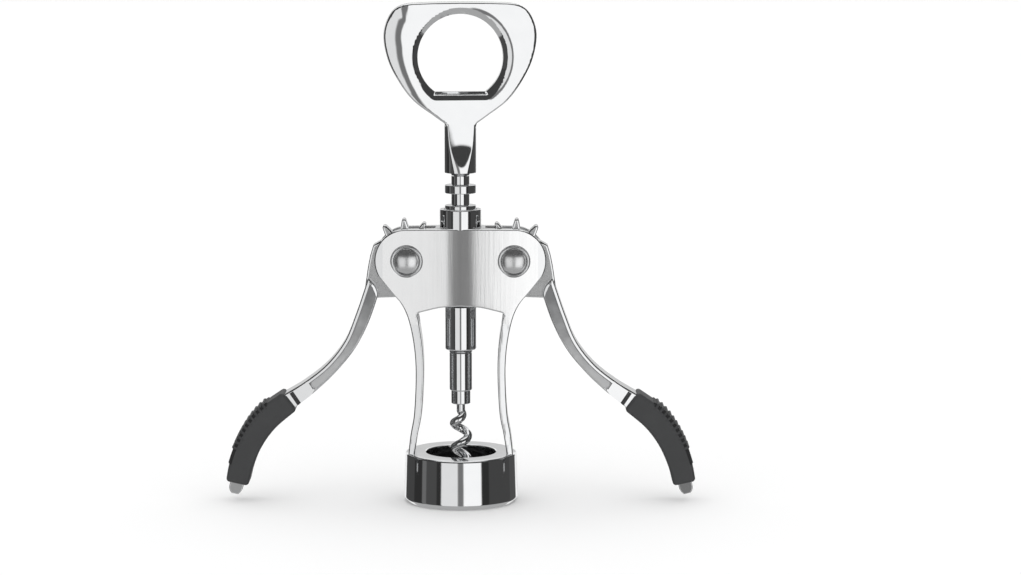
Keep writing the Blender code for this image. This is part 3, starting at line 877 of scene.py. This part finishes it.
# %% Draw the plate
plate_half = 0.0031
plate_low = 0.1302
handle_turn = math.radians(6)
plate_line = (
    (0.0000, handle_high.z), (0.0119, handle_high.z - 0.0002),
    (0.0198, handle_high.z - 0.0009), (0.0242, 0.1713), (0.0265, 0.1644),
    (0.0252, 0.1560), (0.0216, 0.1484), (0.0164, 0.1414), (0.0095, 0.1362),
    (0.0056, 0.1334),
)
hole_radius = 0.0149
hole_z = 0.1564
lip_z = 0.1444
hole_chamfer = 0.0015


def plate_outline():
    return mirrored(smooth(plate_line, 6) + [Vector((0.0046, plate_low)), Vector((0, plate_low))])


def hole_outline():
    end = math.degrees(math.asin((hole_z - lip_z) / hole_radius))
    return arc((0, hole_z), hole_radius, -end, 180 + end, 96)


def hole_cutter():
    """The hole's shape, flared at both ends so that it cuts its own chamfer."""
    straight = plate_half - hole_chamfer
    cutter = prism("hole", hole_outline(), -straight, straight)
    flare = 0.002
    for face in (FRONT, REAR):
        edit(cutter)
        choose(cutter, "faces", lambda side: side.normal.y * face > 0.9)
        bpy.ops.mesh.extrude_region_move(TRANSFORM_OT_translate={"value": (0, face * flare, 0)})
        wider = 1 + flare / hole_radius
        bpy.ops.transform.resize(value=(wider, 1, wider), center_override=(0, 0, hole_z))
        tidy_normals()
        leave_edit()
    return cutter


def make_plate():
    plate = prism("handle_plate", plate_outline(), -plate_half, plate_half)
    round_edges(plate, 0.0007, 4, 60)
    combine(plate, hole_cutter())
    return plate


# %% [markdown]
# ### Pillowing the plate
# Cast handles are never flat. The plate's faces fall away softly towards its sides and its top
# and round the hole, and mirror that as a grey line inside the outline. The plate is sliced into
# a fine grid, and each point is lowered by its distance from the outline and from the hole.

# %% Lower the plate towards its edges
def nearest_on(outline):
    """A function that finds the place on a closed outline nearest to a point."""
    tree = kdtree.KDTree(len(outline))
    points = [Vector((p[0], p[1], 0)) for p in outline]
    for index, point in enumerate(points):
        tree.insert(point, index)
    tree.balance()

    def nearest(x, z):
        target = Vector((x, z, 0))
        index = tree.find(target)[1]
        places = []
        for other in (index - 1, (index + 1) % len(points)):
            share = geometry.intersect_point_line(target, points[index], points[other])[1]
            places.append(points[index].lerp(points[other], min(max(share, 0), 1)))
        return min(places, key=lambda place: (place - target).length) - target

    return nearest


def soft_fall(distance, width, depth):
    """A fall that is deepest at the edge and ends smoothly at its width."""
    return depth * max(0.0, 1 - distance / width) ** 1.75


def between(value, low, high):
    """0 below a range, 1 above it, and even in between."""
    return min(max((value - low) / (high - low), 0.0), 1.0)


side_steepness = 0.162
top_width, top_depth = 0.0022, 0.0008
hole_width, hole_depth = 0.0020, 0.00045
foot_depth = 0.0006


def pillow(plate):
    slice_plate(plate, 0, -0.0265, 0.0265, 0.0007)
    slice_plate(plate, 2, 0.1305, 0.1754, 0.0007)
    outer, inner = nearest_on(plate_outline()), nearest_on(hole_outline())
    for vert in plate.data.vertices:
        x, z = vert.co.x, vert.co.z
        away = outer(x, z)
        on_edge = away.length <= 1e-5
        sideways = 1.0 if on_edge else min(1.0, 1.6 * away.x**2 / away.length_squared)
        width = 0.0016 + 0.0046 * between(z, 0.1380, 0.1600)
        side_fall = soft_fall(away.length, width, side_steepness * width)
        fall = sideways * between(z, 0.1330, 0.1390) * side_fall
        if away.z > 0:
            fall += (1 - sideways) * soft_fall(away.length, top_width, top_depth)
        rim = max(0, inner(x, z).length - hole_chamfer)
        fall += soft_fall(rim, hole_width, hole_depth)
        fall += foot_depth * (1 - between(z, plate_low, 0.1365)) ** 2
        vert.co.y *= 1 - fall / plate_half
    return plate


# %% Turn the neck and press in its flats
neck_bottom = handle_low.z
neck_top = 0.1348
neck_radius = 0.0056
flat_curve = 60
screw_z = 0.1232
flat_line = smooth(
    (
        (0.0057, neck_bottom - 0.0020), (0.0055, neck_bottom + 0.0004),
        (0.0049, neck_bottom + 0.0038), (0.0043, neck_bottom + 0.0071),
        (0.0037, neck_bottom + 0.0105), (0.0033, neck_bottom + 0.0140),
        (0.0030, neck_bottom + 0.0175), (0.0028, neck_bottom + 0.0210),
    ),
    8,
)


def softly_lower(one, other, reach):
    """The lower of two depths, with the corner between them rounded."""
    near = max(reach - abs(one - other), 0.0)
    return min(one, other) - near * near / (4 * reach)


def make_neck():
    corners = [(0, neck_bottom), (neck_radius, neck_bottom), (neck_radius, neck_top), (0, neck_top)]
    neck = turned("neck", rounded(corners, [0, 0.0003, 0, 0], 3), 128, closed=False)
    slice_plate(neck, 2, neck_bottom + 0.0005, neck_top - 0.0002, 0.0004)
    for vert in neck.data.vertices:
        x, y, z = vert.co
        flat = depth_at(flat_line, z + flat_curve * x * x)
        vert.co.y = math.copysign(softly_lower(abs(y), flat, 0.0005), y)
    return neck


def to_the_rear(piece):
    """Lays an upright piece down, pointing to the rear at the grub screw's height."""
    return move(piece, (0, 0, screw_z), math.radians(-90), "X")


def make_handle():
    handle = pillow(make_plate())
    combine(handle, make_neck(), "UNION")
    combine(handle, rod("rod_socket", bore_radius, neck_bottom - 0.001, 0.1282))
    combine(handle, to_the_rear(rod("screw_hole", 0.0018, 0, 0.008)))
    return move(handle, turn=handle_turn)


handle = paint(make_handle(), chrome)
handle.name = "opener_handle"
settle(handle, "spindle", "polished_chrome", "handle", angle=32)

# %% [markdown]
# ### The grub screw
# A short socket screw at the back of the neck holds the rod. It is a cylinder with a hexagonal
# hole, and it sits a little below the surface.

# %% Make the grub screw
def make_grub_screw():
    screw = rod("grub_screw", 0.0015, 0.0023, 0.0036, 32)
    round_edges(screw, 0.00015, 2)
    socket = {"radius": 0.0008, "depth": 0.002, "location": (0, 0, 0.0038)}
    bpy.ops.mesh.primitive_cylinder_add(vertices=6, **socket)
    hexagon = bpy.context.object
    bpy.ops.object.transform_apply(location=True)
    combine(screw, hexagon)
    return move(to_the_rear(screw), turn=handle_turn)


settle(paint(make_grub_screw(), steel), "spindle", "plain_steel", "neck_grub_screw")

# %% [markdown]
# ## The levers
# A lever is one casting: a flat hub with gear teeth, a deeper arm with a brushed channel in each
# face, a small collar before the grip, and a tang that comes out at the grip's end. The right
# one is made, and the left one is its mirror image.

# %% Lines of the lever
arm_line = (
    (0.0093, -0.0020, 0.0026), (0.0119, -0.0096, 0.0026), (0.0156, -0.0203, 0.0026),
    (0.0200, -0.0297, 0.0022), (0.0266, -0.0380, 0.0021), (0.0344, -0.0448, 0.0025),
    (0.0420, -0.0501, 0.0031),
)
grip_line = (
    (0.0412, -0.0495, 0.0040), (0.0494, -0.0560, 0.0044), (0.0548, -0.0635, 0.0043),
    (0.0583, -0.0717, 0.0042), (0.0600, -0.0789, 0.0040),
)
tang_line = (
    (0.0411, -0.0494, 0.0023), (0.0494, -0.0560, 0.0023), (0.0549, -0.0634, 0.0023),
    (0.0585, -0.0716, 0.0024), (0.0602, -0.0789, 0.0024), (0.0608, -0.0814, 0.0023),
    (0.0612, -0.0831, 0.0013),
)
arm_half = 0.0048
hub_half = 0.0027
tang_half = 0.0024
tooth_tip = 0.0145
tooth_root = 0.0104
tip_radius = 0.0008
tip_turns = (0.6, 1.2, math.pi / 2, 1.94, 2.54)
first_tooth = 56.0
tooth_step = 30.0
web_line = (
    (0.0093, 0.0066), (0.0117, 0.0052), (0.0128, 0.0016), (0.0136, -0.0025),
    (0.0142, -0.0065), (0.0150, -0.0118), (0.0140, -0.0150), (0.0100, -0.0133),
    (0.0010, -0.0130),
)


def tooth(angle):
    """One tooth's outline: straight flanks and a rounded tip."""
    outward = Vector((math.cos(angle), math.sin(angle)))
    along = left_of(outward)
    shoulder, root = outward * (tooth_tip - tip_radius), outward * tooth_root
    out, side = outward * tip_radius, along * tip_radius
    tip = [shoulder + out * math.sin(t) + side * math.cos(t) for t in tip_turns]
    return [root + side * 2, shoulder + side, *tip, shoulder - side, root - side * 2]


def hub_outline():
    points = []
    for index in reversed(range(7)):
        angle = first_tooth + index * tooth_step
        points += tooth(math.radians(angle))
        if index:
            middle = math.radians(angle - tooth_step / 2)
            points.append(Vector((math.cos(middle), math.sin(middle))) * (tooth_root - 0.0001))
    return points + [Vector(p) for p in web_line]


# %% Make the right lever
def point_on(line, share):
    """A point of a smooth line at a share of its length, with the direction there."""
    points = smooth(line, 12)
    place = share * (len(points) - 1)
    index = min(int(place), len(points) - 2)
    point = points[index].lerp(points[index + 1], place - index)
    return point, (points[index + 1] - points[index]).xy.normalized()


channel_depth = 0.0006
outer_rim = 0.0014
inner_rim = 0.0005
slant_centre = Vector((0.0266, -0.0159))
arm_slant = 0.0172
channel_slant = 0.0162
clear_of_corner = 0.0032


def slanted(outline, radius):
    """An outline whose upper end is an arc round a point beside the arm, with a clean corner."""
    kept = [p for p in outline if p[1] < -0.018 or (p - slant_centre).length < radius]
    first, last = kept[0] - slant_centre, kept[-1] - slant_centre
    start, end = (math.degrees(math.atan2(p[1], p[0])) % 360 for p in (last, first))
    outline = kept + arc(slant_centre, radius, start, end, 8)[1:-1]
    corner = outline[0]
    return [corner] + [p for p in outline[1:] if (p - corner).length > clear_of_corner]


def beside(line, start, reach, count, shift, rim):
    """A stretch of a band's middle line, moved to its left, with its half width less a rim."""
    middle = []
    for k in range(count):
        point, along = point_on(line, start + reach * k / (count - 1))
        place = point.xy + left_of(along) * shift
        middle.append((place[0], place[1], point[2] - rim))
    return middle


def channel_outline():
    """The channel: slanted like the arm's upper end, and round at the other."""
    shift, rim = (inner_rim - outer_rim) / 2, (inner_rim + outer_rim) / 2
    middle = beside(arm_line, 0, 0.80, 12, shift, rim)
    outline = band(middle, 3)
    half = len(outline) // 2
    place = Vector(middle[-1][:2])
    along = point_on(arm_line, 0.80)[1]
    across = left_of(along) * middle[-1][2]
    reach = along * across.length * 0.7
    turns = (0.5, 1.0, 1.57, 2.14, 2.64)
    tip = [place + across * math.cos(t) + reach * math.sin(t) for t in turns]
    return slanted(outline[:half] + tip + outline[half:], channel_slant)


def raise_faces(piece, width, rise):
    """Insets the front and rear faces and lifts them, so that a tilted border runs round them."""
    edit(piece)
    choose(piece, "faces", lambda side: abs(side.normal.y) > 0.99)
    bpy.ops.mesh.inset(thickness=width, depth=rise)
    bpy.ops.mesh.inset(thickness=width / 8, depth=rise / 16)
    leave_edit()


def shelf_cutter(face):
    """Cuts the arm below its channel: a long slope down, a short one up, and the collar's back."""
    start, _ = point_on(arm_line, 0.82)
    end, along = point_on(arm_line, 0.955)
    across = left_of(along)
    reach = 0.006
    back = (start.xy - end.xy).length
    section = [
        (-back, arm_half), (-0.0012, arm_half - 0.0014),
        (0.0001, arm_half - 0.0001), (0.0045, arm_half - 0.0006),
        (0.0045, arm_half + 0.0020), (-back, arm_half + 0.0020),
    ]
    first = end.xy - across * reach
    spots = [(first + along * s, face * y) for s, y in section]
    sweep = across * (reach + end[2] - 0.0007)
    return solid("shelf", [Vector((p[0], y, p[1])) for p, y in spots], (sweep[0], 0, sweep[1]))


def make_lever():
    border = 0.00015
    outline = slanted(band(arm_line), arm_slant)
    arm = prism("right_lever_casting", outline, border - arm_half, arm_half - border)
    raise_faces(arm, 0.00105, border)
    round_edges(arm, 0.0005, 4, 50)
    for face in (FRONT, REAR):
        combine(arm, shelf_cutter(face))
        low, high = sorted((face * (arm_half - channel_depth), face * (arm_half + 0.001)))
        combine(arm, prism("channel", channel_outline(), low, high))
    hub = prism("hub", hub_outline(), border - hub_half, hub_half - border)
    raise_faces(hub, 0.0006, border)
    round_edges(hub, 0.0003, 3, 50)
    combine(arm, hub, "UNION")
    tang = prism("tang", band(tang_line), -tang_half, tang_half)
    round_edges(tang, 0.0009, 4, 50)
    combine(arm, tang, "UNION")
    combine(arm, move(rod("bore", 0.0028, -0.01, 0.01), turn=math.radians(90), axis="X"))
    return move(arm, (pivot.x, 0, pivot.z))


def mirror_piece(piece, name):
    """A copy of a piece with its own mesh, mirrored in the middle plane."""
    copy = piece.copy()
    copy.data = piece.data.copy()
    call(copy, name)
    bpy.context.scene.collection.objects.link(copy)
    edit(copy)
    bpy.ops.mesh.select_all(action="SELECT")
    bpy.ops.transform.resize(value=(-1, 1, 1), center_override=(0, 0, 0))
    bpy.ops.mesh.flip_normals()
    leave_edit()
    return copy


def on_channel_floor(middle, normal):
    return abs(normal.y) > 0.99 and abs(abs(middle.y) - arm_half + channel_depth) < 0.0001


def on_hub_face(middle, normal):
    return abs(normal.y) > 0.999 and abs(abs(middle.y) - hub_half) < 0.0001


right_lever = paint(make_lever(), chrome, brushed_floor, gear_face)
paint_where(right_lever, 1, on_channel_floor)
paint_where(right_lever, 2, on_hub_face)
left_lever = mirror_piece(right_lever, "left_lever_casting")
settle(right_lever, "right_lever", "polished_chrome", "right_lever", angle=30)
settle(left_lever, "left_lever", "polished_chrome", "left_lever", angle=30)

# %% [markdown]
# ## The grips
# Each grip is a soft-touch sleeve moulded over the lever's tang. Its long edges are well rounded,
# and fine ribs cross a slightly raised pad on the outer edge, where a finger presses. Along the
# ribs the sleeve is painted darker: painted shade in the hollows between them.

# %% Make the right grip
grip_half = 0.0060
pad_half = 0.0057
pad_shift = 0.0005
rib_count = 10
rib_spacing = 0.0020
rib_radius = 0.0005
first_rib = 0.19


def outer_edge(share):
    """A point of the grip's outer edge, and the direction outwards there."""
    point, along = point_on(grip_line, share)
    across = left_of(along)
    return point.xy + across * point[2], across


def rib_shares():
    """Shares of the outer edge that lie a rib's spacing apart."""
    shares = [first_rib]
    step = 0
    while len(shares) < rib_count:
        step += 1
        share = first_rib + 0.002 * step
        if (outer_edge(share)[0] - outer_edge(shares[-1])[0]).length >= rib_spacing:
            shares.append(share)
    return shares


# Half of a rib, from one face to the outer edge, as (height above the edge, depth) pairs.
half_rib = [
    (-0.0020, 0.0054), (-0.0015, 0.0057), (-0.0002, 0.0057), (0.00025, 0.0055),
    (0.0004, 0.0050),
]


def make_rib(share):
    """A bent bar across the outer edge that reaches a little way down both faces."""
    place, across = outer_edge(share)
    path = []
    for out, y in half_rib + [(out, -y) for out, y in reversed(half_rib)]:
        spot = place + across * out
        path.append((Vector((spot[0], y, spot[1])), rib_radius))
    return extrude_wire("rib", path, 12)


def make_pad():
    """The raised pad under the ribs: a stretch of the sleeve, moved a little outwards."""
    middle = beside(grip_line, 0.15, 0.64, 10, pad_shift, 0.00015)
    pad = prism("pad", band(middle), -pad_half, pad_half)
    round_edges(pad, 0.0006, 3, 50)
    return pad


ribbed_edge = [outer_edge(0.17 + 0.6 * k / 40)[0] for k in range(41)]


def in_painted_rib_shade(middle, normal):
    """Whether a face lies beside the ribs, where the sleeve gets painted shade in its colour."""
    spot = Vector((middle.x, middle.z))
    return min((spot - point).length for point in ribbed_edge) < 0.0010


def make_grip():
    grip = prism("right_grip_sleeve", band(grip_line), -grip_half, grip_half)
    round_edges(grip, 0.0017, 6, 50)
    combine(grip, make_pad(), "UNION")
    # Painted shade: the sleeve's faces beside the ribs get the darker copy of the colour.
    paint(grip, rubber, painted_shade_rubber)
    paint_where(grip, 1, in_painted_rib_shade)
    for share in rib_shares():
        combine(grip, make_rib(share), "UNION")
    return move(grip, (pivot.x, 0, pivot.z))


right_grip = make_grip()
left_grip = mirror_piece(right_grip, "left_grip_sleeve")
settle(right_grip, "right_lever", "soft_touch_grey", "right_grip", angle=40)
settle(left_grip, "left_lever", "soft_touch_grey", "left_grip", angle=40)

# %% [markdown]
# ## Studio
# Chrome is lit by what it mirrors. The world is plain white for the camera and for dull
# surfaces, so the floor stays pale and the shadows soft. Mirror-like surfaces see a studio
# instead: two bright panels in front with a narrow grey gap between them, dark flags at both
# sides, a dark band above the panels under a white ceiling, and a white wall behind the object.

# %% Build the world
def ramp(finish, value, stops):
    """A ramp whose stops are angles in degrees, read by a value that is an angle in degrees."""
    low, high = stops[0][0], stops[-1][0]
    places = [((angle - low) / (high - low), shade) for angle, shade in stops]
    share = (value - low) * (1 / (high - low))
    return finish.node("ValToRGB", {"stops": places}, {"Fac": share})


def plateau(levels, soft=1.5):
    """Ramp stops for a run of (start angle, level) steps, each blending over a soft edge."""
    stops = [levels[0]]
    for (_, before), (angle, level) in zip(levels, levels[1:]):
        stops += [(angle - soft / 2, before), (angle + soft / 2, level)]
    return stops + [(180, levels[-1][1])]


left_levels = [(-86, 0.15), (-75, 0.07), (-50, 0.03), (-40, 0.82)]
right_levels = [(-6, 0.19), (5.8, 1.05), (43, 0.03), (60, 0.06), (120, 0.08)]
rear_left_levels = [(-180, 0.62), (-168, 0.95), (-150, 0.06), (-110, 0.03)]
rear_right_levels = [(150, 0.95), (168, 0.62)]
round_levels = rear_left_levels + left_levels + right_levels + rear_right_levels
panel_low, panel_high, ceiling = -32, 13, 60
panel_levels = [(-180, 0.0), (panel_low, 1.0), (panel_high, 0.0)]
upper_levels = [(-180, 0.0), (panel_high, 1.0), (ceiling, 0.0)]
plain_levels = [(-180, 0.42), (panel_low, 0.0), (panel_high, 0.05), (ceiling, 1.0)]
back_levels = [(-180, 0.9), (-150, 0.0), (150, 0.9)]


def make_world():
    world = bpy.data.worlds.new("studio")
    bpy.context.scene.world = world
    studio = Finish(world)
    view = studio.node("TexCoord", output="Generated")
    split = studio.node("SeparateXYZ", None, {"Vector": view}).socket.node
    x, y, z = (Value(studio, split.outputs[axis]) for axis in "XYZ")
    degrees = 180 / math.pi
    around = x.maths("ARCTAN2", x, y * -1.0) * degrees
    rise = z.maths("ARCSINE", z) * degrees
    panels = ramp(studio, rise, plateau(panel_levels))
    panels *= ramp(studio, around, plateau(round_levels, 2.0))
    wall = ramp(studio, rise, plateau(upper_levels, 3)) * ramp(studio, around, plateau(back_levels))
    light = panels + wall + ramp(studio, rise, plateau(plain_levels, 3))
    mirrored_light = studio.node("Background", None, {"Color": light, "Strength": 1.0})
    plain_light = studio.node("Background", None, {"Color": (1, 1, 1, 1), "Strength": 1.13})
    glossy = studio.node("LightPath", output="Is Glossy Ray")
    both = studio.node("MixShader", None, {0: glossy, 1: plain_light, 2: mirrored_light})
    studio.node("OutputWorld", None, {"Surface": both})
    return world


make_world()

# %% Lay the floor
def make_floor():
    bpy.ops.object.select_all(action="DESELECT")
    bpy.ops.mesh.primitive_plane_add(size=60)
    floor = bpy.context.object
    floor.name = "floor"
    finish = new_finish("pale_floor")
    cloud = finish.noise(3, 2)
    tint = finish.mix(cloud, (0.92, 0.92, 0.92), (0.94, 0.94, 0.94))
    paint(floor, finish.surface(Base_Color=tint, Roughness=0.9))
    floor.visible_glossy = False
    floor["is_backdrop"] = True
    return floor


make_floor()

# %% [markdown]
# ## Camera
# The camera stands a metre in front of the corkscrew and a little above its handle's middle,
# looking slightly down, with a long lens so that the upright lines stay upright.

# %% Set the camera
def make_camera():
    data = bpy.data.cameras.new("camera")
    data.sensor_width = 36
    data.lens = 106.7
    camera = bpy.data.objects.new("camera", data)
    camera.location = (0.01747, -1.05, 0.220)
    camera.rotation_euler = (math.radians(90 - 7.826), 0, 0)
    bpy.context.scene.collection.objects.link(camera)
    bpy.context.scene.camera = camera
    bpy.context.scene.view_settings.view_transform = "Standard"
    return camera


make_camera()

# %% [markdown]
# ## The size
# Both boxes, the imported model's and the finished pieces', are printed. The finished pieces have
# to stay within the imported model's box.

# %% Print both boxes
def corners(box):
    return [[round(value, 6) for value in corner] for corner in box]


visual_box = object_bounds()
{"cad": corners(cad_box), "visual": corners(visual_box)}
print("packed box", corners(cad_box))
print("finished box", corners(visual_box))
